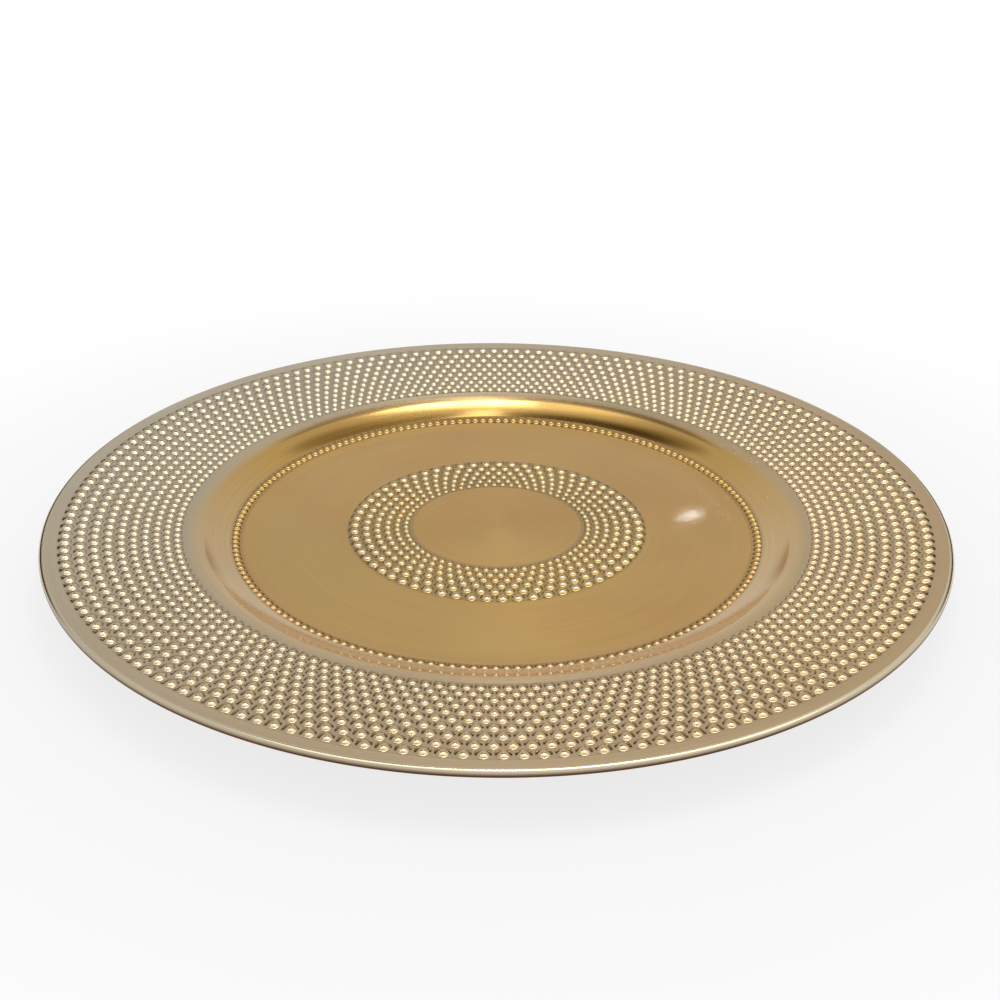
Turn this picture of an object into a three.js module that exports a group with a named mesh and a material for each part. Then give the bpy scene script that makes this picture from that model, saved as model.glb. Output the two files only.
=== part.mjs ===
// A round charger plate, 33 cm across: one plastic moulding with a gold finish, modelled zone by zone.
// From the middle outwards: a plain medallion, a beaded band, the well floor, a single ring of beads, the
// curved wall, a sloping rim with ten rows of beads, a plain border and a round edge. A low foot ring is
// underneath.
// Millimetres, +Z up. The origin is on the plate's axis, on the surface that the foot ring stands on.
import * as THREE from "three";

// Whole plate
const PLATE_RADIUS = 165;
const SHELL = 2.1; // thickness of the moulding, square to its surface
const WELL_DEPTH = 13.95; // from the outer end of the rim's slope down to the well floor
const ROUND_SIDES = 60; // flat sides that stand for a full circle
const ARC_STEPS = 3; // straight steps along each curve of the section
const BEAD_FILL = 0.88; // width of a bead as a share of the space from one bead to the next

// Rim and edge
const EDGE_ROUND = 1.5; // radius of the edge's upper side
const EDGE_STEPS = 4; // straight steps along each of the edge's rounds
const BORDER_WIDTH = 4.1; // plain slope between the beads and the edge
const RIM_SLOPE = 0.134; // rise of the rim for each millimetre outwards
const RIM_ROWS = 10;
const RIM_BEADS = 180; // beads in each row
const RIM_INSET = 3; // from either side of the beaded rim to its nearest row
const RIM_GAP_GROWTH = 1.046; // each gap between rows is this many times the one inside it
const RIM_BEAD_RISE = 1.05; // height of a bead in the outermost row
const RIM_TURN = 0.95; // degrees from the front to the first bead of the outermost row

// Well: floor, single ring of beads, wall and shoulder
const FLOOR_RADIUS = 88; // where the flat floor starts to curve up
const WALL_CURVE = 41; // radius of the hollow wall
const SHOULDER_CURVE = 12; // radius of the round edge between wall and rim
const SHOULDER_MARGIN = 2.0; // plain slope between the shoulder and the beaded rim
const WELL_RING_OUT = 10.05; // from where the floor starts to curve up, out to the ring of beads
const WELL_RING_WIDTH = 5;
const WELL_RING_BEADS = 180;
const WELL_RING_RISE = 0.75;
const WELL_RING_TURN = 0.1;

// Centre: medallion and its beaded band
const MEDALLION_RADIUS = 32;
const CENTRE_BAND_WIDTH = 25;
const CENTRE_ROWS = 6;
const CENTRE_BEADS = 63;
const CENTRE_INSET = 2.8;
const CENTRE_GAP_GROWTH = 1.07;
const CENTRE_BEAD_RISE = 1.04;
const CENTRE_TURN = 2.33;

// Foot ring
const FOOT_INSET = 2; // from where the floor starts to curve up, in to the foot's outer side
const FOOT_WIDTH = 3.4;
const FOOT_HEIGHT = 1.3;
const FOOT_DRAFT = 0.4; // how far each side of the foot leans in towards its lower face

// Finish
const GOLD = 0xb8955a;
const SATIN = { color: GOLD, metalness: 0.9, roughness: 0.34 };
const POLISHED = { color: GOLD, metalness: 0.9, roughness: 0.2 };

// Heights and angles that the whole section shares
const floorTop = FOOT_HEIGHT + SHELL;
const rimTop = floorTop + WELL_DEPTH;
const rimAngle = Math.atan(RIM_SLOPE);
const edgeInner = PLATE_RADIUS - EDGE_ROUND * (1 + Math.sin(rimAngle));
const wallCentre = new THREE.Vector2(FLOOR_RADIUS, floorTop + WALL_CURVE);
const shoulderCentre = findShoulderCentre();
const wallAngle = Math.asin((shoulderCentre.x - wallCentre.x) / (WALL_CURVE + SHOULDER_CURVE));

// Radii where one zone ends and the next begins
const wallEnd = FLOOR_RADIUS + WALL_CURVE * Math.sin(wallAngle);
const shoulderEnd = shoulderCentre.x - SHOULDER_CURVE * Math.sin(rimAngle);
const centreBandOuter = MEDALLION_RADIUS + CENTRE_BAND_WIDTH;
const wellRingInner = FLOOR_RADIUS + WELL_RING_OUT - WELL_RING_WIDTH / 2;
const wellRingOuter = wellRingInner + WELL_RING_WIDTH;
const rimBandInner = shoulderEnd + SHOULDER_MARGIN;
const rimBandOuter = edgeInner - BORDER_WIDTH;

// The shoulder's arc touches the rim's slope from below and the wall's arc from outside.
function findShoulderCentre() {
  const inwards = new THREE.Vector2(-Math.cos(rimAngle), -Math.sin(rimAngle));
  const below = new THREE.Vector2(Math.sin(rimAngle), -Math.cos(rimAngle));
  const centre = new THREE.Vector2(edgeInner, rimTop).addScaledVector(below, SHOULDER_CURVE);
  const fromWall = centre.clone().sub(wallCentre);
  const reach = WALL_CURVE + SHOULDER_CURVE;
  const along = -fromWall.dot(inwards);
  const travel = along - Math.sqrt(along ** 2 - fromWall.lengthSq() + reach ** 2);
  return centre.addScaledVector(inwards, travel);
}

// Height of the moulding at a radius, a given depth below its upper face and square to it.
function height(radius, depth = 0) {
  const wallArc = WALL_CURVE + depth;
  const shoulderArc = SHOULDER_CURVE - depth;
  if (radius <= FLOOR_RADIUS) {
    return floorTop - depth;
  }
  if (radius <= FLOOR_RADIUS + wallArc * Math.sin(wallAngle)) {
    return wallCentre.y - Math.sqrt(wallArc ** 2 - (radius - wallCentre.x) ** 2);
  }
  if (radius <= shoulderCentre.x - shoulderArc * Math.sin(rimAngle)) {
    return shoulderCentre.y + Math.sqrt(shoulderArc ** 2 - (radius - shoulderCentre.x) ** 2);
  }
  return rimTop - RIM_SLOPE * (edgeInner - radius) - depth / Math.cos(rimAngle);
}

// Evenly spaced radii from one to another, both included.
function steps(from, to, count) {
  return Array.from({ length: count + 1 }, (_, i) => THREE.MathUtils.lerp(from, to, i / count));
}

// A solid of revolution about the plate's axis, from its section.
function turned(section) {
  return new THREE.LatheGeometry(section, ROUND_SIDES).rotateX(Math.PI / 2);
}

// A smooth zone of the moulding, with its section bent at the given radii.
function plainZone(radii) {
  const upper = radii.map((radius) => new THREE.Vector2(radius, height(radius)));
  const lower = radii.map((radius) => new THREE.Vector2(radius, height(radius, SHELL)));
  return turned([...lower, ...upper.reverse(), lower[0]]);
}

// A point at an angle from the front, counted anticlockwise from above.
function place(angle, radius, z) {
  return new THREE.Vector3(radius * Math.sin(angle), -radius * Math.cos(angle), z);
}

// A closed ring of points about the axis.
function ring(count, radius, z) {
  return Array.from({ length: count }, (_, i) => place((2 * Math.PI * i) / count, radius, z));
}

function angleOf(point) {
  const angle = Math.atan2(point.x, -point.y);
  return angle < 0 ? angle + 2 * Math.PI : angle;
}

// Triangles between two rings that follow each other round a section, moving along the one that lags.
function stitch(first, second) {
  const [a, b] = [first, second].map((points) => points.toSorted((p, q) => angleOf(p) - angleOf(q)));
  const corners = [];
  let i = 0;
  let j = 0;
  while (i < a.length || j < b.length) {
    const here = [a[i % a.length], b[j % b.length]];
    const lag = (i + 1) / a.length - (j + 1) / b.length;
    const moveFirst = j === b.length || (i < a.length && lag < 0);
    if (moveFirst) {
      i += 1;
      corners.push(here[0], here[1], a[i % a.length]);
    } else {
      j += 1;
      corners.push(here[0], here[1], b[j % b.length]);
    }
  }
  return corners;
}

// Radii of the rows in a beaded band, from the inside out, with each gap wider than the one inside it.
function rowRadii({ inner, outer, inset, rows, gapGrowth }) {
  const span = outer - inner - 2 * inset;
  const gaps = Array.from({ length: rows - 1 }, (_, k) => gapGrowth ** k);
  const total = gaps.reduce((sum, gap) => sum + gap, 0);
  const radii = [inner + inset];
  gaps.forEach((gap, k) => radii.push(radii[k] + (span * gap) / total));
  return radii;
}

// A zone of the moulding with rows of beads, every second row turned by half a bead. A bead is a pointed dome
// whose foot has the corners that it shares with the beads round it.
function beadedZone(band) {
  const { inner, outer, rows, beads, turn, rise } = band;
  const radii = rowRadii(band);
  const halfStep = Math.PI / beads;
  const halfBead = (radius) => BEAD_FILL * radius * Math.sin(halfStep);
  const onTop = (angle, radius) => place(angle, radius, height(radius));
  const corners = [];

  // Radius of the foot's corner between row k - 1 and row k, at a bead of row k or beside it.
  const cornerRadius = (k, atBead) => {
    if (k === 0) {
      return radii[0] - halfBead(radii[0]);
    }
    if (k === rows) {
      return radii[rows - 1] + halfBead(radii[rows - 1]);
    }
    const third = (radii[k] - radii[k - 1]) / 3;
    return atBead ? radii[k - 1] + third : radii[k] - third;
  };

  const feet = { inner: [], outer: [] };
  radii.forEach((radius, k) => {
    const top = height(radius) + (rise * radius) / radii[rows - 1];
    const rowTurn = THREE.MathUtils.degToRad(turn) + (rows - 1 - k) * halfStep;
    for (let bead = 0; bead < beads; bead += 1) {
      const angle = rowTurn + 2 * bead * halfStep;
      const [before, after] = [angle - halfStep, angle + halfStep];
      const insideMiddle = k === 0 ? [] : [onTop(angle, cornerRadius(k, true))];
      const outsideMiddle = k === rows - 1 ? [] : [onTop(angle, cornerRadius(k + 1, false))];
      const foot = [
        onTop(before, cornerRadius(k, false)),
        onTop(before, cornerRadius(k + 1, true)),
        ...outsideMiddle,
        onTop(after, cornerRadius(k + 1, true)),
        onTop(after, cornerRadius(k, false)),
        ...insideMiddle,
      ];
      const tip = place(angle, radius, top);
      foot.forEach((corner, i) => corners.push(tip, corner, foot[(i + 1) % foot.length]));
      if (k === 0) {
        feet.inner.push(onTop(after, cornerRadius(k, false)));
      }
      if (k === rows - 1) {
        feet.outer.push(onTop(after, cornerRadius(k + 1, true)));
      }
    }
  });

  const [innerTop, innerUnder] = [0, SHELL].map((depth) => ring(ROUND_SIDES, inner, height(inner, depth)));
  const [outerTop, outerUnder] = [0, SHELL].map((depth) => ring(ROUND_SIDES, outer, height(outer, depth)));
  corners.push(...stitch(innerTop, feet.inner), ...stitch(feet.outer, outerTop));
  corners.push(...stitch(outerTop, outerUnder), ...stitch(outerUnder, innerUnder));
  corners.push(...stitch(innerUnder, innerTop));
  return new THREE.BufferGeometry().setFromPoints(corners);
}

function centreMedallion() {
  const section = [
    new THREE.Vector2(0, height(0, SHELL)),
    new THREE.Vector2(MEDALLION_RADIUS, height(MEDALLION_RADIUS, SHELL)),
    new THREE.Vector2(MEDALLION_RADIUS, height(MEDALLION_RADIUS)),
    new THREE.Vector2(0, height(0)),
  ];
  return turned(section);
}

function centreBeadBand() {
  return beadedZone({
    inner: MEDALLION_RADIUS,
    outer: centreBandOuter,
    inset: CENTRE_INSET,
    rows: CENTRE_ROWS,
    gapGrowth: CENTRE_GAP_GROWTH,
    beads: CENTRE_BEADS,
    turn: CENTRE_TURN,
    rise: CENTRE_BEAD_RISE,
  });
}

function wellFloor() {
  return plainZone([centreBandOuter, ...steps(FLOOR_RADIUS, wellRingInner, ARC_STEPS - 1)]);
}

function wellBeadRing() {
  return beadedZone({
    inner: wellRingInner,
    outer: wellRingOuter,
    inset: WELL_RING_WIDTH / 2,
    rows: 1,
    gapGrowth: 1,
    beads: WELL_RING_BEADS,
    turn: WELL_RING_TURN,
    rise: WELL_RING_RISE,
  });
}

function wellWall() {
  const hollow = steps(wellRingOuter, wallEnd, ARC_STEPS);
  const shoulder = steps(wallEnd, shoulderEnd, ARC_STEPS - 1);
  return plainZone([...hollow, ...shoulder.slice(1), rimBandInner]);
}

function rimBeadBand() {
  return beadedZone({
    inner: rimBandInner,
    outer: rimBandOuter,
    inset: RIM_INSET,
    rows: RIM_ROWS,
    gapGrowth: RIM_GAP_GROWTH,
    beads: RIM_BEADS,
    turn: RIM_TURN,
    rise: RIM_BEAD_RISE,
  });
}

function rimBorder() {
  return plainZone([rimBandOuter, edgeInner]);
}

// The outermost band ends in a round edge. A small round below fills what the large one above leaves of the
// thickness.
function rimEdge() {
  const lean = Math.sin(rimAngle);
  const underRound = (SHELL - EDGE_ROUND * (1 + lean)) / (1 - lean);
  const middle = rimTop - EDGE_ROUND * Math.cos(rimAngle);
  const quarter = (radius, start) => {
    const end = start + Math.PI / 2;
    const curve = new THREE.EllipseCurve(PLATE_RADIUS - radius, middle, radius, radius, start, end);
    return curve.getPoints(EDGE_STEPS);
  };
  const below = quarter(underRound, -Math.PI / 2);
  const above = quarter(EDGE_ROUND, 0);
  const [upper, lower] = [0, SHELL].map((depth) => new THREE.Vector2(edgeInner, height(edgeInner, depth)));
  return turned([lower, ...below, ...above.slice(1), upper, lower]);
}

function footRing() {
  const footOuter = FLOOR_RADIUS - FOOT_INSET;
  const footInner = footOuter - FOOT_WIDTH;
  const section = [
    new THREE.Vector2(footInner + FOOT_DRAFT, 0),
    new THREE.Vector2(footOuter - FOOT_DRAFT, 0),
    new THREE.Vector2(footOuter, FOOT_HEIGHT),
    new THREE.Vector2(footInner, FOOT_HEIGHT),
  ];
  return turned([...section, section[0]]);
}

const plate = new THREE.Group();
const zones = [
  ["centre_medallion", centreMedallion(), SATIN],
  ["centre_bead_band", centreBeadBand(), POLISHED],
  ["well_floor", wellFloor(), SATIN],
  ["well_bead_ring", wellBeadRing(), POLISHED],
  ["well_wall", wellWall(), POLISHED],
  ["rim_bead_band", rimBeadBand(), POLISHED],
  ["rim_border", rimBorder(), SATIN],
  ["rim_edge", rimEdge(), POLISHED],
  ["foot_ring", footRing(), SATIN],
];
for (const [name, geometry, finish] of zones) {
  const mesh = new THREE.Mesh(geometry, new THREE.MeshStandardMaterial(finish));
  mesh.name = name;
  plate.add(mesh);
}

export default plate;
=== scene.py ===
import math

import bpy
from mathutils import Matrix, Quaternion, Vector


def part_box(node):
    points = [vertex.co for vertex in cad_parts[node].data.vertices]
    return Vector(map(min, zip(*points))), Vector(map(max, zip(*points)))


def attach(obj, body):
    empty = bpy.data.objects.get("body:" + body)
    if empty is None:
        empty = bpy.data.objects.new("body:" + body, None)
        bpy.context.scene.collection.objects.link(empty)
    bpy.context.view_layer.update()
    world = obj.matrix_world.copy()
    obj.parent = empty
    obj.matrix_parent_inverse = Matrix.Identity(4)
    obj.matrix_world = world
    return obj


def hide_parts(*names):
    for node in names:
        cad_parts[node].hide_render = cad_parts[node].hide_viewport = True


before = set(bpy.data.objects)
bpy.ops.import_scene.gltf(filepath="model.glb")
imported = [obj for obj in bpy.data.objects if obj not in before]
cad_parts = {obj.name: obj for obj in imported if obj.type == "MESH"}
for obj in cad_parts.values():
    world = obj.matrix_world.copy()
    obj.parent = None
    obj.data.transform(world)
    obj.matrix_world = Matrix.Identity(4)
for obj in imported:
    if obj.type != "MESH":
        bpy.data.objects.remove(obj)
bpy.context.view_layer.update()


def outer_radius(node):
    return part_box(node)[1].x


# Radii and heights where the solids' zones end
MEDALLION_RADIUS = outer_radius("centre_medallion")
CENTRE_BAND_OUTER = outer_radius("centre_bead_band")
WELL_RING_INNER = outer_radius("well_floor")
WELL_RING_OUTER = outer_radius("well_bead_ring")
RIM_BAND_INNER = outer_radius("well_wall")
RIM_BAND_OUTER = outer_radius("rim_bead_band")
EDGE_INNER = outer_radius("rim_border")
PLATE_RADIUS = outer_radius("rim_edge")
FOOT_OUTER = outer_radius("foot_ring")
FLOOR_UNDER, FLOOR_TOP = (corner.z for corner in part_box("centre_medallion"))
RIM_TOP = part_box("rim_border")[1].z
SHELL = FLOOR_TOP - FLOOR_UNDER

# Section of the moulding
FLOOR_RADIUS = 0.088
WALL_CURVE = 0.041
SHOULDER_CURVE = 0.012
RIM_SLOPE = 0.134
EDGE_ROUND = 0.0015
FOOT_WIDTH = 0.0034
FOOT_DRAFT = 0.0004
FOOT_ROUND = 0.0003

# Beads
BEAD_FILL = 0.88
RIM_ROWS = 10
RIM_BEADS = 180
RIM_INSET = 0.003
RIM_GAP_GROWTH = 1.046
RIM_BEAD_RISE = 0.00102
RIM_TURN = math.radians(0.95)
RIM_SPLIT_ROW = 5
WELL_RING_ROWS = 1
WELL_RING_BEADS = 180
WELL_RING_GAP_GROWTH = 1.0
WELL_RING_RISE = 0.00073
WELL_RING_TURN = math.radians(0.1)
CENTRE_ROWS = 6
CENTRE_BEADS = 63
CENTRE_INSET = 0.0028
CENTRE_GAP_GROWTH = 1.07
CENTRE_BEAD_RISE = 0.00102
CENTRE_TURN = math.radians(2.33)

# Fineness of the meshes
DOME_RINGS = (0.22, 0.44, 0.66, 0.86, 1.0)
DOME_START = math.radians(210)
CELL_SIDE_STEPS = 3
CELL_SIDES = 6
SIDES = 2 * CELL_SIDE_STEPS * RIM_BEADS
CENTRE_SIDES = 2 * CELL_SIDE_STEPS * CENTRE_BEADS
CURVE_STEP = math.radians(1.2)
FEWEST_CURVE_STEPS = 2
EDGE_STEPS = 9
SEAM_STEP = 0.00006
BEND_STEPS = 4
MEDALLION_RINGS = 8
FLOOR_JOIN = 0.001
FLOOR_STEPS = 12
BORDER_STEPS = 2
SHARP_ANGLE = math.radians(72)

# Layout of the textures: the upper side fills the left half and the underside the right half
UNFOLD_REACH = 0.24
UNFOLD_STRETCH = 2
UPPER_MIDDLE = 0.25
UNDER_MIDDLE = 0.75
MIDDLE_HEIGHT = 0.5

# Tones of the gold zone by zone, and where and how far they shift; most shifts are painted reflections,
# highlights and shade
WELL_GOLD = (0.745, 0.435, 0.125, 1.0)
# Olive tone: random blotches of the gold's own tone, and a painted reflection on the well floor's front left
OLIVE_BLOTCH_AND_REFLECTION_GOLD = (0.745, 0.485, 0.15, 1.0)
CENTRE_BEAD_GOLD = (0.62, 0.43, 0.19, 1.0)
# Painted highlight: the paler tone painted on the tops of the centre band's beads
BEAD_TOP_PAINTED_HIGHLIGHT_GOLD = (0.71, 0.565, 0.335, 1.0)
RING_GOLD = (0.61, 0.385, 0.13, 1.0)
WALL_GOLD = (0.76, 0.47, 0.14, 1.0)
# Painted reflection: the paler tone of the wall's front side
FRONT_WALL_PAINTED_REFLECTION_GOLD = (0.97, 0.74, 0.46, 1.0)
RIM_GOLD = (0.77, 0.57, 0.315, 1.0)
WARM_RIM_GOLD = (0.73, 0.515, 0.265, 1.0)
# Painted reflection: the cooler tone of the rim's left back side
COOL_RIM_PAINTED_REFLECTION_GOLD = (0.73, 0.635, 0.46, 1.0)
# Painted highlight: the pale cream of the edge's round
EDGE_PAINTED_HIGHLIGHT_GOLD = (1.0, 0.86, 0.60, 1.0)
# Painted shade and dark reflection: the dark brown that faces turning downwards take on
UNDERSIDE_PAINTED_SHADE_GOLD = (0.12, 0.05, 0.022, 1.0)
OLIVE_REFLECTION_WAY = (-0.7, -0.7, 0.0)
COOL_REFLECTION_WAY = (-0.87, 0.5, 0.0)
BAND_FADE = 0.001
UNDERSIDE_PAINTED_SHADE_FADE = 0.45
GAP_TO_TOP = (0.0002, 0.0006)

# Spun lines, blotches and grain of the finish
LINES_PER_METRE = 1300.0
LINE_DETAIL = 3.0
LINE_BRIGHTNESS = (0.955, 1.045)
LINE_DULLNESS = (0.88, 1.12)
BLOTCHES_PER_METRE = 14.0
BLOTCH_DETAIL = 2.0
BLOTCH_BRIGHTNESS = (0.96, 1.04)
OLIVE_BLOTCH = (0.42, 0.62)
OLIVE_BLOTCH_SHARE = (0.0, 0.6)
GRAINS_PER_METRE = 800.0
GRAIN_DETAIL = 1.0
GRAIN_FADE = 0.004
GRAIN_STRENGTH = (0.045, 0.6)
NOISE_RANGE = (0.3, 0.7)
BUMP_DEPTH = 0.0001
LACQUER_ROUGHNESS = 0.04
QUARTER_TURN = 0.25
SHOULDER_LINES = 4
SHOULDER_LINE_GAP = 0.0014
SHOULDER_LINE_START = 0.1076
SHOULDER_LINE_HEIGHT = 0.25

# Spans of a share that grows and of one that fades
RISING = (0.0, 1.0)
FALLING = (1.0, 0.0)

# Camera, at the photograph's viewing angle
CAMERA_PLACE = Vector((0.00105, -0.43129, 0.23281))
CAMERA_PITCH = 0.4697
CAMERA_ROLL = 0.0088
CAMERA_LENS = 45.955
SENSOR_WIDTH = 36.0
CLIP_START = 0.01
CLIP_END = 50.0

# Studio floor: it glows white in the picture and keeps a soft shadow near the plate
HALF_FLOOR = 10.0
FLOOR_DROP = 0.00005
FLOOR_COLOUR = (0.92, 0.92, 0.92, 1.0)
FLOOR_ROUGHNESS = 0.9
FLOOR_GLOW = (0.8, 1.0)
WHITE = (1.0, 1.0, 1.0, 1.0)

# Small lamp that makes the bright spot on the well's floor
SMALL_LAMP_ROLL = math.radians(14)
SMALL_LAMP_SPREAD = math.radians(2)

# Surroundings: a middle tone all round, with brown screens behind the plate and above it
ROOM_COLOUR = (0.57, 0.57, 0.57, 1.0)
SCREEN_COLOUR = (0.05, 0.03, 0.012, 1.0)
WARM_SCREEN_COLOUR = (0.32, 0.19, 0.08, 1.0)
PALE_SCREEN_COLOUR = (0.25, 0.21, 0.16, 1.0)

# Each screen: degrees right of the back, degrees above level, half-angles where it is full and ends, tone
SCREENS = (
    (-46, 13, 9, 17, SCREEN_COLOUR),
    (-30, 12, 8, 15, SCREEN_COLOUR),
    (-14, 6, 5, 11, WARM_SCREEN_COLOUR),
    (45, 11, 9, 17, SCREEN_COLOUR),
    (29, 10, 8, 15, SCREEN_COLOUR),
    (14, 5, 5, 11, WARM_SCREEN_COLOUR),
    (-24, 55, 3, 9, PALE_SCREEN_COLOUR),
    (-10, 57, 5, 11, SCREEN_COLOUR),
    (6, 57, 4, 10, SCREEN_COLOUR),
    (18, 55, 4, 10, PALE_SCREEN_COLOUR),
)

rim_angle = math.atan(RIM_SLOPE)
wall_centre = Vector((FLOOR_RADIUS, FLOOR_TOP + WALL_CURVE))


def find_shoulder_centre():
    """The shoulder's arc touches the rim's slope from below and the wall's arc from outside."""
    inwards = Vector((-math.cos(rim_angle), -math.sin(rim_angle)))
    below = Vector((math.sin(rim_angle), -math.cos(rim_angle)))
    centre = Vector((EDGE_INNER, RIM_TOP)) + below * SHOULDER_CURVE
    from_wall = centre - wall_centre
    reach = WALL_CURVE + SHOULDER_CURVE
    along = -from_wall.dot(inwards)
    travel = along - math.sqrt(along**2 - from_wall.length_squared + reach**2)
    return centre + inwards * travel


shoulder_centre = find_shoulder_centre()
wall_angle = math.asin((shoulder_centre.x - wall_centre.x) / (WALL_CURVE + SHOULDER_CURVE))
wall_end = FLOOR_RADIUS + WALL_CURVE * math.sin(wall_angle)


def height(radius, depth=0.0):
    """Height of the moulding at a radius, a given depth below its upper face and square to it."""
    wall_arc = WALL_CURVE + depth
    shoulder_arc = SHOULDER_CURVE - depth
    if radius <= FLOOR_RADIUS:
        return FLOOR_TOP - depth
    if radius <= FLOOR_RADIUS + wall_arc * math.sin(wall_angle):
        return wall_centre.y - math.sqrt(wall_arc**2 - (radius - wall_centre.x) ** 2)
    if radius <= shoulder_centre.x - shoulder_arc * math.sin(rim_angle):
        return shoulder_centre.y + math.sqrt(shoulder_arc**2 - (radius - shoulder_centre.x) ** 2)
    return RIM_TOP - RIM_SLOPE * (EDGE_INNER - radius) - depth / math.cos(rim_angle)


def steps(start, end, count):
    return [start + (end - start) * i / count for i in range(count + 1)]


def place(angle, radius, z):
    """A point at an angle from the front, counted anticlockwise from above."""
    return Vector((radius * math.sin(angle), -radius * math.cos(angle), z))


class Skin:
    """A closed mesh that grows ring by ring."""

    def __init__(self):
        self.points = []
        self.faces = []

    def add(self, point):
        self.points.append(point)
        return len(self.points) - 1

    def ring(self, radius, z, count=SIDES, turn=0.0):
        return [self.add(place(turn + 2 * math.pi * i / count, radius, z)) for i in range(count)]

    def bridge(self, first, second):
        """Faces between two rings of as many points. They face up where the second ring lies outside."""
        for i, (start, end) in enumerate(zip(first, second)):
            j = (i + 1) % len(first)
            self.faces.append((start, end, second[j], first[j]))

    def stitch(self, first, second, turn):
        """Triangles between rings with different counts, where the first is turned against the second."""
        start = round(turn * len(second) / (2 * math.pi))
        second = second[start:] + second[:start]
        i = j = 0
        while i < len(first) or j < len(second):
            here = (first[i % len(first)], second[j % len(second)])
            if j == len(second) or (i < len(first) and (i + 1) / len(first) < (j + 1) / len(second)):
                i += 1
                self.faces.append((*here, first[i % len(first)]))
            else:
                j += 1
                self.faces.append((*here, second[j % len(second)]))

    def fan(self, tip, ring):
        for i, point in enumerate(ring):
            self.faces.append((tip, point, ring[(i + 1) % len(ring)]))

    def unfold(self, mesh):
        """Lay the upper side and the underside out flat, one beside the other, for textures."""
        scale = UNFOLD_REACH / max(math.hypot(point.x, point.y) for point in self.points)
        flat = []
        for polygon in mesh.polygons:
            middle = UPPER_MIDDLE if polygon.normal.z > 0 else UNDER_MIDDLE
            for index in polygon.vertices:
                point = self.points[index]
                flat += [middle + scale * point.x, MIDDLE_HEIGHT + UNFOLD_STRETCH * scale * point.y]
        mesh.uv_layers.new(name="OFBake").data.foreach_set("uv", flat)

    def make(self, name, material):
        mesh = bpy.data.meshes.new(name)
        mesh.from_pydata(self.points, [], self.faces)
        mesh.polygons.foreach_set("use_smooth", [True] * len(mesh.polygons))
        mesh.set_sharp_from_angle(angle=SHARP_ANGLE)
        mesh.materials.append(material)
        self.unfold(mesh)
        mesh.update()
        piece = bpy.data.objects.new(name, mesh)
        bpy.context.scene.collection.objects.link(piece)
        return piece


def turned(section):
    """A solid of revolution from a closed section that runs outwards along its upper side."""
    skin = Skin()
    rings = [skin.ring(point.x, point.y) for point in section]
    for first, second in zip(rings, rings[1:] + rings[:1]):
        skin.bridge(first, second)
    return skin


def upper(radii):
    return [Vector((radius, height(radius))) for radius in radii]


def lower(radii):
    return [Vector((radius, height(radius, SHELL))) for radius in radii]


def curve_radii(start, end, curve):
    """Radii along a curved stretch, with a short step at either end so that zones shade as one."""
    count = max(FEWEST_CURVE_STEPS, math.ceil((end - start) / (curve * CURVE_STEP)))
    return [start, *steps(start + SEAM_STEP, end - SEAM_STEP, count), end]


def bend(start, start_way, end, end_way):
    """Points along a smooth bend that leaves one point one way and meets the other the other way."""
    reach = (end - start).length / 3
    near = start + start_way * reach
    far = end - end_way * reach
    points = []
    for done in steps(0.0, 1.0, BEND_STEPS):
        left = 1 - done
        points.append(left**3 * start + 3 * left**2 * done * near + 3 * left * done**2 * far + done**3 * end)
    return points


class Band:
    """Rows of beads, every second row turned by half a bead. Row 0 is the innermost."""

    def __init__(self, inner, outer, inset, rows, growth, beads, turn, rise):
        self.inner = inner
        self.outer = outer
        self.rows = rows
        self.beads = beads
        self.half = math.pi / beads
        self.turn = turn
        gaps = [growth**row for row in range(rows - 1)]
        self.radii = [inner + inset]
        for gap in gaps:
            self.radii.append(self.radii[-1] + (outer - inner - 2 * inset) * gap / sum(gaps))
        self.rises = [rise * radius / self.radii[-1] for radius in self.radii]

    def row_turn(self, row):
        return self.turn + (self.rows - 1 - row) * self.half

    def seam_radius(self, row, index):
        """Radius of the line between a row and the one inside it. It zigzags between their beads."""
        if row == 0:
            return self.inner + SEAM_STEP
        if row == self.rows:
            return self.outer - SEAM_STEP
        third = (self.radii[row] - self.radii[row - 1]) / 3
        phase = index % (2 * CELL_SIDE_STEPS)
        beside = 1 - abs(phase - CELL_SIDE_STEPS) / CELL_SIDE_STEPS
        return self.radii[row - 1] + third * (1 + beside)

    def seam_angle(self, row, index):
        return self.row_turn(row) + index * self.half / CELL_SIDE_STEPS

    def seam(self, skin, row, depth=0.0):
        ring = []
        for index in range(2 * self.beads * CELL_SIDE_STEPS):
            radius = self.seam_radius(row, index)
            ring.append(skin.add(place(self.seam_angle(row, index), radius, height(radius, depth))))
        return ring


def dome_points(skin, angle, radius, half_width, rise):
    """The rings of one bead, from the top down. Its foot lies on the moulding's upper face."""
    ball = (half_width**2 + rise**2) / (2 * rise)
    contact = math.asin(half_width / ball)
    out = place(angle, 1.0, 0.0)
    along = Vector((-out.y, out.x, 0.0))
    centre = out * radius
    count = CELL_SIDES * CELL_SIDE_STEPS
    rings = []
    for share in DOME_RINGS:
        tilt = contact * share
        reach = ball * math.sin(tilt)
        lift = ball * (math.cos(tilt) - math.cos(contact))
        ring = []
        for i in range(count):
            way = DOME_START - 2 * math.pi * i / count
            point = centre + along * (reach * math.cos(way)) + out * (reach * math.sin(way))
            point.z = height(point.length) + lift
            ring.append(skin.add(point))
        rings.append(ring)
    tip = skin.add(place(angle, radius, height(radius) + rise))
    return tip, rings


def bead_sides(skin, band, inner_seam, outer_seam):
    """Points between the cells of a row's beads, from the inner seam to the outer one."""
    cell = 2 * CELL_SIDE_STEPS
    sides = []
    for bead in range(band.beads):
        start = skin.points[inner_seam[(cell * bead + CELL_SIDE_STEPS) % len(inner_seam)]]
        end = skin.points[outer_seam[cell * (bead + 1) % len(outer_seam)]]
        side = []
        for point in steps(start, end, CELL_SIDE_STEPS)[1:-1]:
            point.z = height(math.hypot(point.x, point.y))
            side.append(skin.add(point))
        sides.append(side)
    return sides


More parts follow.
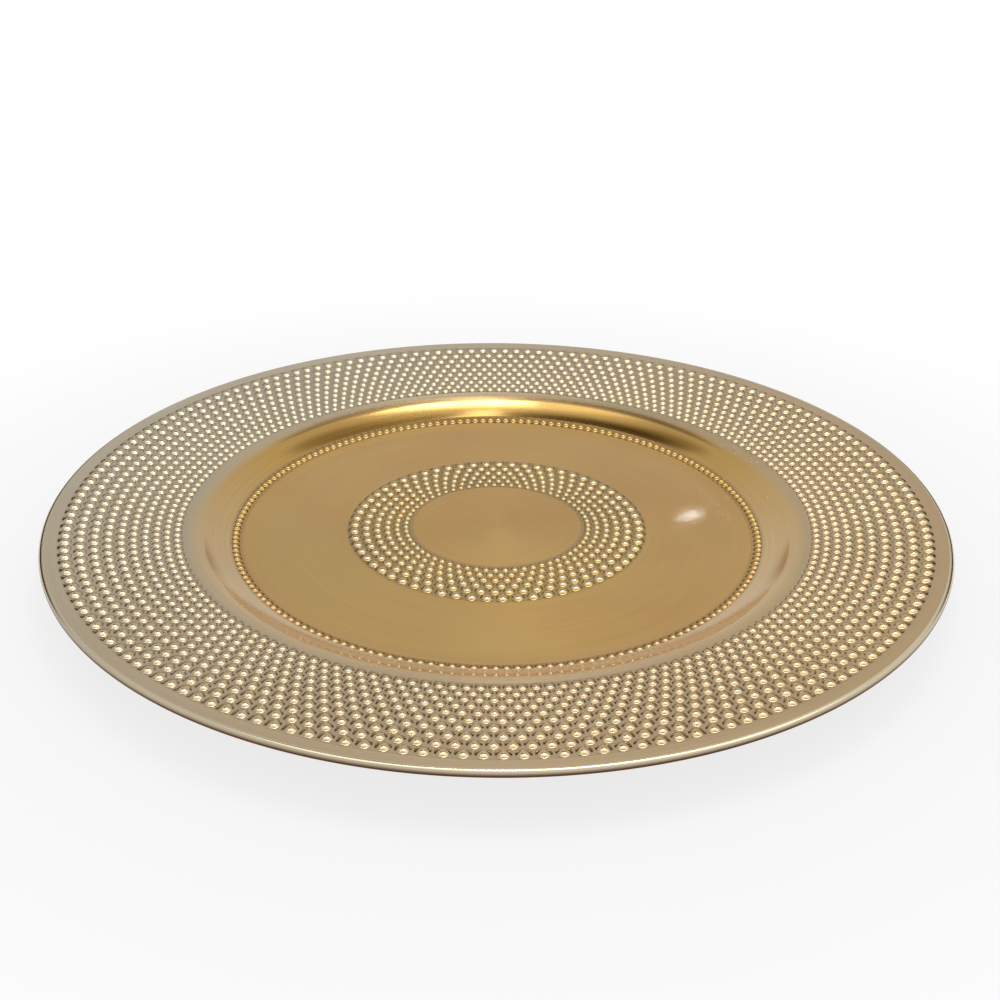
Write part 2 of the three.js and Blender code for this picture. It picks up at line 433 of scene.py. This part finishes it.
def add_row(skin, band, row, inner_seam, outer_seam):
    """The beads of one row, each with the cell round it."""
    cell = 2 * CELL_SIDE_STEPS
    around = len(inner_seam)
    radius = band.radii[row]
    half_width = BEAD_FILL * radius * math.sin(band.half)
    sides = bead_sides(skin, band, inner_seam, outer_seam)
    way_back = range(CELL_SIDE_STEPS, -CELL_SIDE_STEPS, -1)
    for bead in range(band.beads):
        angle = band.row_turn(row) + 2 * bead * band.half
        first_corner = inner_seam[(cell * bead - CELL_SIDE_STEPS) % around]
        outer_loop = [outer_seam[(cell * bead + i) % around] for i in range(cell + 1)]
        inner_loop = [inner_seam[(cell * bead + i) % around] for i in way_back]
        loop = [first_corner, *sides[bead - 1], *outer_loop, *reversed(sides[bead]), *inner_loop]
        tip, rings = dome_points(skin, angle, radius, half_width, band.rises[row])
        skin.fan(tip, rings[0][::-1])
        for inside, outside in zip(rings, [*rings[1:], loop]):
            skin.bridge(inside[::-1], outside[::-1])


def beaded(band, first_row, last_row):
    """A zone of the moulding that carries some rows of a band, the last one included."""
    skin = Skin()
    first_seam = band.seam(skin, first_row)
    last_seam = first_seam
    for row in range(first_row, last_row + 1):
        outer_seam = band.seam(skin, row + 1)
        add_row(skin, band, row, last_seam, outer_seam)
        last_seam = outer_seam
    around = len(first_seam)
    top_inner = first_seam
    top_outer = last_seam
    if first_row == 0:
        top_inner = skin.ring(band.inner, height(band.inner), around, band.row_turn(0))
        skin.bridge(top_inner, first_seam)
        under_inner = skin.ring(band.inner, height(band.inner, SHELL), around, band.row_turn(0))
    else:
        under_inner = band.seam(skin, first_row, SHELL)
    if last_row == band.rows - 1:
        top_outer = skin.ring(band.outer, height(band.outer), around, band.row_turn(band.rows))
        skin.bridge(last_seam, top_outer)
        under_outer = skin.ring(band.outer, height(band.outer, SHELL), around, band.row_turn(band.rows))
    else:
        under_outer = band.seam(skin, last_row + 1, SHELL)
    skin.bridge(top_outer, under_outer)
    turned_by = (last_row + 1 - first_row) * CELL_SIDE_STEPS
    skin.bridge(under_outer, under_inner[-turned_by:] + under_inner[:-turned_by])
    skin.bridge(under_inner, top_inner)
    return skin


rim_band = Band(
    inner=RIM_BAND_INNER,
    outer=RIM_BAND_OUTER,
    inset=RIM_INSET,
    rows=RIM_ROWS,
    growth=RIM_GAP_GROWTH,
    beads=RIM_BEADS,
    turn=RIM_TURN,
    rise=RIM_BEAD_RISE,
)
ring_band = Band(
    inner=WELL_RING_INNER,
    outer=WELL_RING_OUTER,
    inset=(WELL_RING_OUTER - WELL_RING_INNER) / 2,
    rows=WELL_RING_ROWS,
    growth=WELL_RING_GAP_GROWTH,
    beads=WELL_RING_BEADS,
    turn=WELL_RING_TURN,
    rise=WELL_RING_RISE,
)
centre_band = Band(
    inner=MEDALLION_RADIUS,
    outer=CENTRE_BAND_OUTER,
    inset=CENTRE_INSET,
    rows=CENTRE_ROWS,
    growth=CENTRE_GAP_GROWTH,
    beads=CENTRE_BEADS,
    turn=CENTRE_TURN,
    rise=CENTRE_BEAD_RISE,
)


def medallion():
    skin = Skin()
    turn = centre_band.row_turn(0)
    radii = steps(MEDALLION_RADIUS, MEDALLION_RADIUS / MEDALLION_RINGS, MEDALLION_RINGS - 1)
    tops = [skin.ring(radius, height(radius), CENTRE_SIDES, turn) for radius in radii]
    unders = [skin.ring(radius, height(radius, SHELL), CENTRE_SIDES, turn) for radius in radii]
    for outside, inside in zip(tops, tops[1:]):
        skin.bridge(inside, outside)
    for outside, inside in zip(unders, unders[1:]):
        skin.bridge(outside, inside)
    skin.bridge(tops[0], unders[0])
    skin.fan(skin.add(Vector((0, 0, FLOOR_TOP))), tops[-1])
    skin.fan(skin.add(Vector((0, 0, FLOOR_UNDER))), unders[-1][::-1])
    return skin


def well_floor():
    skin = Skin()
    turn = centre_band.row_turn(CENTRE_ROWS)
    radii = steps(CENTRE_BAND_OUTER + FLOOR_JOIN, FLOOR_RADIUS, FLOOR_STEPS)
    radii += curve_radii(FLOOR_RADIUS, WELL_RING_INNER, WALL_CURVE)[1:]
    top_inner = skin.ring(CENTRE_BAND_OUTER, FLOOR_TOP, CENTRE_SIDES, turn)
    under_inner = skin.ring(CENTRE_BAND_OUTER, FLOOR_UNDER, CENTRE_SIDES, turn)
    tops = [skin.ring(point.x, point.y) for point in upper(radii)]
    unders = [skin.ring(point.x, point.y) for point in lower(radii)]
    skin.stitch(top_inner, tops[0], turn)
    for inside, outside in zip(tops, tops[1:]):
        skin.bridge(inside, outside)
    skin.bridge(tops[-1], unders[-1])
    for inside, outside in zip(unders, unders[1:]):
        skin.bridge(outside, inside)
    first_new = len(skin.faces)
    skin.stitch(under_inner, unders[0], turn)
    skin.faces[first_new:] = [face[::-1] for face in skin.faces[first_new:]]
    skin.bridge(under_inner, top_inner)
    return skin


def well_wall():
    shoulder_end = shoulder_centre.x - SHOULDER_CURVE * math.sin(rim_angle)
    radii = curve_radii(WELL_RING_OUTER, wall_end, WALL_CURVE)
    radii += curve_radii(wall_end, shoulder_end, SHOULDER_CURVE)[1:]
    radii.append(RIM_BAND_INNER)
    return turned(upper(radii) + lower(radii)[::-1])


def rim_border():
    radii = steps(RIM_BAND_OUTER, EDGE_INNER, BORDER_STEPS)
    return turned(upper(radii) + lower(radii)[::-1])


def rim_edge():
    """A large round above and a small one below close the moulding's edge."""
    lean = math.sin(rim_angle)
    under_round = (SHELL - EDGE_ROUND * (1 + lean)) / (1 - lean)
    middle = RIM_TOP - EDGE_ROUND * math.cos(rim_angle)

    def arc(radius, start, end):
        angles = steps(start, end, EDGE_STEPS)
        centre = Vector((PLATE_RADIUS - radius, middle))
        return [centre + radius * Vector((math.cos(angle), math.sin(angle))) for angle in angles]

    above = arc(EDGE_ROUND, math.pi / 2 + rim_angle, 0.0)
    below = arc(under_round, 0.0, rim_angle - math.pi / 2)
    slope = Vector((math.cos(rim_angle), math.sin(rim_angle)))
    under = Vector((EDGE_INNER, height(EDGE_INNER, SHELL)))
    return turned([above[0], above[0] + slope * SEAM_STEP, *above[1:], *below[1:], under])


def foot_ring():
    """A low ring with leaning sides and rounded lower edges."""
    inner_top = Vector((FOOT_OUTER - FOOT_WIDTH, FLOOR_UNDER))
    outer_top = Vector((FOOT_OUTER, FLOOR_UNDER))
    inner_foot = Vector((inner_top.x + FOOT_DRAFT, 0.0))
    outer_foot = Vector((outer_top.x - FOOT_DRAFT, 0.0))
    up_in = (inner_top - inner_foot).normalized()
    up_out = (outer_top - outer_foot).normalized()
    out = Vector((1.0, 0.0))
    outer_bend = bend(outer_foot + up_out * FOOT_ROUND, -up_out, outer_foot - out * FOOT_ROUND, -out)
    inner_bend = bend(inner_foot + out * FOOT_ROUND, -out, inner_foot + up_in * FOOT_ROUND, up_in)
    return turned([inner_top, outer_top, *outer_bend, *inner_bend])


class Nodes:
    """Shorthand for the nodes of one material or world."""

    def __init__(self, owner):
        owner.use_nodes = True
        self.nodes = owner.node_tree.nodes
        self.links = owner.node_tree.links

    def node(self, kind, settings=None, **inputs):
        node = self.nodes.new(kind)
        for key, value in (settings or {}).items():
            setattr(node, key, value)
        for key, value in inputs.items():
            self.feed(node.inputs[key], value)
        return node

    def feed(self, socket, value):
        if isinstance(value, bpy.types.NodeSocket):
            self.links.new(value, socket)
        else:
            socket.default_value = value

    def mix(self, share, first, second):
        node = self.node("ShaderNodeMix", {"data_type": "RGBA"}, Factor=share)
        colours = [socket for socket in node.inputs if socket.type == "RGBA"]
        self.feed(colours[0], first)
        self.feed(colours[1], second)
        return next(socket for socket in node.outputs if socket.type == "RGBA")

    def math(self, operation, *values):
        node = self.node("ShaderNodeMath", {"operation": operation})
        for socket, value in zip(node.inputs, values):
            self.feed(socket, value)
        return node.outputs[0]

    def dot(self, vector, way):
        node = self.node("ShaderNodeVectorMath", {"operation": "DOT_PRODUCT"})
        self.feed(node.inputs[0], vector)
        self.feed(node.inputs[1], way)
        return node.outputs["Value"]

    def length(self, vector):
        return self.node("ShaderNodeVectorMath", {"operation": "LENGTH"}, Vector=vector).outputs["Value"]

    def noise(self, vector, scale, detail):
        return self.node("ShaderNodeTexNoise", Vector=vector, Scale=scale, Detail=detail).outputs["Fac"]

    def span(self, value, start, end, interpolation="LINEAR"):
        """A value carried from one span to another, and held at its ends."""
        node = self.node("ShaderNodeMapRange", {"interpolation_type": interpolation}, Value=value)
        for key, number in zip(("From Min", "From Max", "To Min", "To Max"), (*start, *end)):
            node.inputs[key].default_value = number
        return node.outputs["Result"]


class Spot:
    """Where a point lies on the plate, and the noises that the finish has there."""

    def __init__(self, finish):
        self.point = finish.node("ShaderNodeTexCoord").outputs["Object"]
        parts = finish.node("ShaderNodeSeparateXYZ", Vector=self.point).outputs
        self.back = parts["Y"]
        self.height = parts["Z"]
        flat = finish.node("ShaderNodeCombineXYZ", X=parts["X"], Y=parts["Y"]).outputs[0]
        self.radius = finish.length(flat)
        way = finish.node("ShaderNodeVectorMath", {"operation": "NORMALIZE"}, Vector=flat).outputs[0]
        way_parts = finish.node("ShaderNodeSeparateXYZ", Vector=way).outputs
        along = finish.math("MULTIPLY", self.radius, LINES_PER_METRE)
        spun = finish.node("ShaderNodeCombineXYZ", X=along, Y=way_parts["X"], Z=way_parts["Y"]).outputs[0]
        self.lines = finish.noise(spun, 1.0, LINE_DETAIL)
        self.blotches = finish.noise(self.point, BLOTCHES_PER_METRE, BLOTCH_DETAIL)
        self.grain = finish.noise(self.point, GRAINS_PER_METRE, GRAIN_DETAIL)


def zone_colour(finish, spot, tones):
    """Tones of the well, its ring, its wall and the rim, blended by radius."""
    well, ring, wall, rim = tones
    ramp = finish.node("ShaderNodeValToRGB", Fac=finish.math("DIVIDE", spot.radius, PLATE_RADIUS))
    stops = ramp.color_ramp.elements
    stops[0].position = 0.0
    stops[0].color = well
    stops[1].position = RIM_BAND_INNER / PLATE_RADIUS
    stops[1].color = rim
    between = ((CENTRE_BAND_OUTER, well), (FLOOR_RADIUS, ring), (WELL_RING_OUTER, wall), (wall_end, wall))
    for radius, tone in between:
        stops.new(radius / PLATE_RADIUS).color = tone
    return ramp.outputs["Color"]


def bead_height(finish, spot):
    """0 in the gaps between the beads of the centre band and the rim, and 1 on the beads' tops."""
    band_base = (height(CENTRE_BAND_OUTER), height(RIM_BAND_INNER))
    lower_base = finish.span(spot.radius, (CENTRE_BAND_OUTER, RIM_BAND_INNER), band_base)
    climb = height(RIM_BAND_OUTER) - height(RIM_BAND_INNER)
    upper_base = finish.span(spot.radius, (RIM_BAND_INNER, RIM_BAND_OUTER), (0.0, climb))
    rise = finish.math("SUBTRACT", spot.height, finish.math("ADD", lower_base, upper_base))
    return finish.span(rise, GAP_TO_TOP, RISING)


def plate_colour(finish, spot, tones, painted_shade_from, gap_shade):
    """Zone tones, shifted to cool, pale or olive by painted reflections and olive blotches, to brown below by
    painted shade, and on beads by painted highlight and shade.
    """
    on_rim = finish.span(spot.radius, (wall_end, RIM_BAND_INNER), RISING)
    on_wall = finish.span(spot.radius, (ring_band.radii[0], WELL_RING_OUTER), RISING)
    in_well = finish.span(spot.radius, (FLOOR_RADIUS, WELL_RING_INNER), FALLING)
    outside_band = finish.span(spot.radius, (CENTRE_BAND_OUTER, CENTRE_BAND_OUTER + BAND_FADE), RISING)

    # Painted reflection: the rim turns cooler towards its left back side
    cool_reflection_share = finish.span(finish.dot(spot.point, COOL_REFLECTION_WAY), (-PLATE_RADIUS, PLATE_RADIUS), RISING)
    toned = zone_colour(finish, spot, tones)
    toned = finish.mix(finish.math("MULTIPLY", cool_reflection_share, on_rim), toned, COOL_RIM_PAINTED_REFLECTION_GOLD)
    # Painted reflection: the wall turns paler towards its front
    front_reflection_share = finish.span(spot.back, (-WELL_RING_OUTER, WELL_RING_OUTER / 2), FALLING)
    off_rim = finish.math("SUBTRACT", on_wall, on_rim)
    toned = finish.mix(finish.math("MULTIPLY", front_reflection_share, off_rim), toned, FRONT_WALL_PAINTED_REFLECTION_GOLD)

    # Painted reflection: the well floor turns olive towards its front left; the olive blotches are the gold's
    # own uneven tone
    slant = finish.dot(spot.point, OLIVE_REFLECTION_WAY)
    olive_reflection_side = finish.span(slant, (CENTRE_BAND_OUTER / 2, CENTRE_BAND_OUTER), RISING)
    olive_reflection_side = finish.math("MULTIPLY", olive_reflection_side, outside_band)
    olive_blotch = finish.span(spot.blotches, OLIVE_BLOTCH, OLIVE_BLOTCH_SHARE)
    olive_blotch_and_reflection = finish.math("MULTIPLY", finish.math("MAXIMUM", olive_reflection_side, olive_blotch), in_well)
    toned = finish.mix(olive_blotch_and_reflection, toned, OLIVE_BLOTCH_AND_REFLECTION_GOLD)

    # Painted shade and dark reflection: faces that turn downwards fade to dark brown
    normal = finish.node("ShaderNodeTexCoord").outputs["Normal"]
    facing_up = finish.node("ShaderNodeSeparateXYZ", Vector=normal).outputs["Z"]
    under = finish.span(facing_up, (painted_shade_from, painted_shade_from - UNDERSIDE_PAINTED_SHADE_FADE), RISING)
    toned = finish.mix(under, toned, UNDERSIDE_PAINTED_SHADE_GOLD)

    line_brightness = finish.span(spot.lines, NOISE_RANGE, LINE_BRIGHTNESS)
    blotch_brightness = finish.span(spot.blotches, NOISE_RANGE, BLOTCH_BRIGHTNESS)
    brightness = finish.math("MULTIPLY", line_brightness, blotch_brightness)
    # Painted highlight: the centre band's bead tops turn paler. Painted shade: the gaps between beads of the
    # centre band and the rim are darkened by gap_shade
    if gap_shade < 1.0:
        bead_top = bead_height(finish, spot)
        inside_band = finish.math("SUBTRACT", 1.0, outside_band)
        toned = finish.mix(finish.math("MULTIPLY", bead_top, inside_band), toned, BEAD_TOP_PAINTED_HIGHLIGHT_GOLD)
        between_bands = finish.math("SUBTRACT", outside_band, on_rim)
        shade = finish.math("MAXIMUM", finish.span(bead_top, RISING, (gap_shade, 1.0)), between_bands)
        brightness = finish.math("MULTIPLY", brightness, shade)
    return finish.node("ShaderNodeHueSaturation", Color=toned, Value=brightness).outputs["Color"]


def plate_roughness(finish, spot, roughness, shoulder_dulling):
    dullness = finish.span(spot.lines, NOISE_RANGE, [roughness * share for share in LINE_DULLNESS])
    dull_shoulder = finish.span(spot.radius, (wall_end, RIM_BAND_INNER), (1.0, shoulder_dulling))
    return finish.math("MULTIPLY", dullness, dull_shoulder)


def line_relief(finish, spot, strength):
    """Fine spun lines, and a few wider ones on the shoulder."""
    from_start = finish.math("SUBTRACT", spot.radius, SHOULDER_LINE_START)
    groove = finish.math("DIVIDE", from_start, SHOULDER_LINE_GAP)
    wave = finish.math("SINE", finish.math("MULTIPLY", groove, 2 * math.pi))
    inside = finish.math("COMPARE", groove, SHOULDER_LINES / 2, SHOULDER_LINES / 2)
    shoulder = finish.math("MULTIPLY", wave, inside)
    relief = finish.math("MULTIPLY_ADD", shoulder, SHOULDER_LINE_HEIGHT, spot.lines)
    bump = finish.node("ShaderNodeBump", Strength=strength, Distance=BUMP_DEPTH, Height=relief)
    return bump.outputs["Normal"]


def lacquer_relief(finish, spot):
    """Grain in the clear lacquer, stronger outside the well's floor."""
    strength = finish.span(spot.radius, (FLOOR_RADIUS - GRAIN_FADE, FLOOR_RADIUS), GRAIN_STRENGTH)
    bump = finish.node("ShaderNodeBump", Strength=strength, Distance=BUMP_DEPTH, Height=spot.grain)
    return bump.outputs["Normal"]


def gold(
    name, tones, roughness, anisotropic, coat, line_bump, painted_shade_from=0.0, shoulder_dulling=1.0, gap_shade=1.0
):
    """Metallised plastic: gold that pales towards the rim, with spun lines, blotches and a clear lacquer, and
    painted reflections, highlights and shade.
    """
    material = bpy.data.materials.new(name)
    finish = Nodes(material)
    shader = finish.nodes["Principled BSDF"]
    shader.inputs["Metallic"].default_value = 1.0
    shader.inputs["Anisotropic"].default_value = anisotropic
    shader.inputs["Anisotropic Rotation"].default_value = QUARTER_TURN
    shader.inputs["Coat Weight"].default_value = coat
    shader.inputs["Coat Roughness"].default_value = LACQUER_ROUGHNESS
    spot = Spot(finish)
    tangent = finish.node("ShaderNodeTangent", {"direction_type": "RADIAL", "axis": "Z"})
    finish.feed(shader.inputs["Base Color"], plate_colour(finish, spot, tones, painted_shade_from, gap_shade))
    finish.feed(shader.inputs["Roughness"], plate_roughness(finish, spot, roughness, shoulder_dulling))
    finish.feed(shader.inputs["Normal"], line_relief(finish, spot, line_bump))
    finish.feed(shader.inputs["Coat Normal"], lacquer_relief(finish, spot))
    finish.feed(shader.inputs["Tangent"], tangent.outputs["Tangent"])
    return material


plain_tones = (WELL_GOLD, WELL_GOLD, WALL_GOLD, WARM_RIM_GOLD)
edge_painted_highlight_tones = (WELL_GOLD, WELL_GOLD, WALL_GOLD, EDGE_PAINTED_HIGHLIGHT_GOLD)
bead_tones = (CENTRE_BEAD_GOLD, RING_GOLD, RING_GOLD, RIM_GOLD)
satin = gold("gold_satin", plain_tones, roughness=0.36, anisotropic=0.4, coat=0.5, line_bump=0.07)
wall_gold = gold(
    "gold_wall", plain_tones, roughness=0.13, anisotropic=0.85, coat=0.1, line_bump=0.03, shoulder_dulling=2.5
)
# Beads: painted shade, 12% darker, in their gaps, and a painted highlight on the centre band's tops
bead_gold = gold(
    "gold_beads", bead_tones, roughness=0.17, anisotropic=0.0, coat=0.1, line_bump=0.0, gap_shade=0.88
)
# The edge: a painted highlight, pale cream, on its round, and painted shade and dark reflection, dark brown,
# on the lower part of its round
edge_gold = gold(
    "gold_edge", edge_painted_highlight_tones, roughness=0.2, anisotropic=0.0, coat=0.1, line_bump=0.0, painted_shade_from=0.7
)

inner_rim_rows = beaded(rim_band, 0, RIM_SPLIT_ROW - 1)
outer_rim_rows = beaded(rim_band, RIM_SPLIT_ROW, RIM_ROWS - 1)
pieces = [
    ("centre_disc", medallion(), satin, "centre_medallion", "gold_satin"),
    ("centre_beads", beaded(centre_band, 0, CENTRE_ROWS - 1), bead_gold, "centre_bead_band", "gold_bright"),
    ("floor", well_floor(), satin, "well_floor", "gold_satin"),
    ("ring_of_beads", beaded(ring_band, 0, WELL_RING_ROWS - 1), bead_gold, "well_bead_ring", "gold_bright"),
    ("wall", well_wall(), wall_gold, "well_wall", "gold_bright"),
    ("rim_beads_inner", inner_rim_rows, bead_gold, "rim_bead_band", "gold_bright"),
    ("rim_beads_outer", outer_rim_rows, bead_gold, "rim_bead_band", "gold_bright"),
    ("border", rim_border(), satin, "rim_border", "gold_satin"),
    ("edge", rim_edge(), edge_gold, "rim_edge", "gold_bright"),
    ("foot", foot_ring(), satin, "foot_ring", "gold_satin"),
]
for name, skin, material, node, slot in pieces:
    piece = skin.make(name, material)
    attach(piece, "root")
    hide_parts(node)


def set_up_camera():
    data = bpy.data.cameras.new("camera")
    data.lens = CAMERA_LENS
    data.sensor_width = SENSOR_WIDTH
    data.clip_start = CLIP_START
    data.clip_end = CLIP_END
    camera = bpy.data.objects.new("camera", data)
    bpy.context.scene.collection.objects.link(camera)
    bpy.context.scene.camera = camera
    forward = Vector((0.0, math.cos(CAMERA_PITCH), -math.sin(CAMERA_PITCH)))
    level = Vector((1.0, 0.0, 0.0))
    upwards = level.cross(forward)
    right = level * math.cos(CAMERA_ROLL) + upwards * math.sin(CAMERA_ROLL)
    up = right.cross(forward)
    turn = Matrix((right, up, -forward)).transposed().to_4x4()
    camera.matrix_world = Matrix.Translation(CAMERA_PLACE) @ turn


set_up_camera()


def floor_finish():
    """Pale and dull, and white to the camera and in reflections, less so near the plate."""
    material = bpy.data.materials.new("studio_floor")
    finish = Nodes(material)
    shader = finish.nodes["Principled BSDF"]
    finish.feed(shader.inputs["Base Color"], FLOOR_COLOUR)
    finish.feed(shader.inputs["Roughness"], FLOOR_ROUGHNESS)
    glow = finish.node("ShaderNodeEmission", Color=WHITE)
    ray = finish.node("ShaderNodeLightPath").outputs
    seen = finish.math("MAXIMUM", ray["Is Camera Ray"], ray["Is Glossy Ray"])
    seen = finish.math("MAXIMUM", seen, ray["Is Transmission Ray"])
    far = finish.length(finish.node("ShaderNodeTexCoord").outputs["Object"])
    clear = finish.span(far, (PLATE_RADIUS, 2 * PLATE_RADIUS), FLOOR_GLOW, "SMOOTHSTEP")
    blend = finish.node("ShaderNodeMixShader", Fac=finish.math("MULTIPLY", seen, clear))
    finish.feed(blend.inputs[1], shader.outputs[0])
    finish.feed(blend.inputs[2], glow.outputs[0])
    finish.feed(finish.nodes["Material Output"].inputs["Surface"], blend.outputs[0])
    return material


floor_corners = [(-1, -1), (1, -1), (1, 1), (-1, 1)]
floor_mesh = bpy.data.meshes.new("studio_floor")
floor_mesh.from_pydata([(HALF_FLOOR * x, HALF_FLOOR * y, 0) for x, y in floor_corners], [], [(0, 1, 2, 3)])
floor_mesh.materials.append(floor_finish())
floor_object = bpy.data.objects.new("studio_floor", floor_mesh)
bpy.context.scene.collection.objects.link(floor_object)
floor_object.location.z = -FLOOR_DROP


def area_light(name, at, aim, size, power):
    data = bpy.data.lights.new(name, "AREA")
    data.shape = "RECTANGLE"
    data.size, data.size_y = size
    data.energy = power
    light = bpy.data.objects.new(name, data)
    bpy.context.scene.collection.objects.link(light)
    light.location = at
    light.rotation_mode = "QUATERNION"
    light.rotation_quaternion = (Vector(aim) - Vector(at)).to_track_quat("-Z", "Y")
    return light


area_light("softbox", at=(0.3, 0.1, 1.3), aim=(0.3, 0.1, 0.0), size=(1.9, 0.76), power=3.6)
area_light("strip_across", at=(0.2, 0.3, 1.25), aim=(0.2, 0.3, 0.0), size=(0.4, 0.12), power=1.0)
area_light("strip_along", at=(0.02, 0.85, 1.25), aim=(0.02, 0.85, 0.0), size=(0.05, 0.55), power=0.17)
area_light("lamp_left", at=(-0.04, 0.27, 1.24), aim=(0.0, 0.0, 0.0), size=(0.1, 0.12), power=0.25)
area_light("lamp_right", at=(0.2, 0.27, 1.24), aim=(0.0, 0.0, 0.0), size=(0.05, 0.1), power=0.08)
small_lamp = area_light(
    "small_lamp", at=(0.296, 1.324, 0.689), aim=(0.075, 0.009, 0.0034), size=(0.05, 0.006), power=2.2e-6
)
small_lamp.data.spread = SMALL_LAMP_SPREAD
small_lamp.data.shape = "ELLIPSE"
small_lamp.rotation_quaternion @= Quaternion((0.0, 0.0, 1.0), SMALL_LAMP_ROLL)


def toward(azimuth, elevation):
    """A direction from its angle right of the plate's back and its angle above level."""
    flat = math.cos(elevation)
    return (flat * math.sin(azimuth), flat * math.cos(azimuth), math.sin(elevation))


world = bpy.data.worlds.new("studio")
bpy.context.scene.world = world
sky = Nodes(world)
sky_way = sky.node("ShaderNodeTexCoord").outputs["Generated"]
surroundings = ROOM_COLOUR
for *angles, colour in SCREENS:
    azimuth, elevation, full, end = (math.radians(angle) for angle in angles)
    nearness = sky.dot(sky_way, toward(azimuth, elevation))
    inside = sky.span(nearness, (math.cos(end), math.cos(full)), RISING, "SMOOTHSTEP")
    surroundings = sky.mix(inside, surroundings, colour)
sky.feed(sky.nodes["Background"].inputs["Color"], surroundings)

bpy.context.scene.view_settings.view_transform = "Standard"
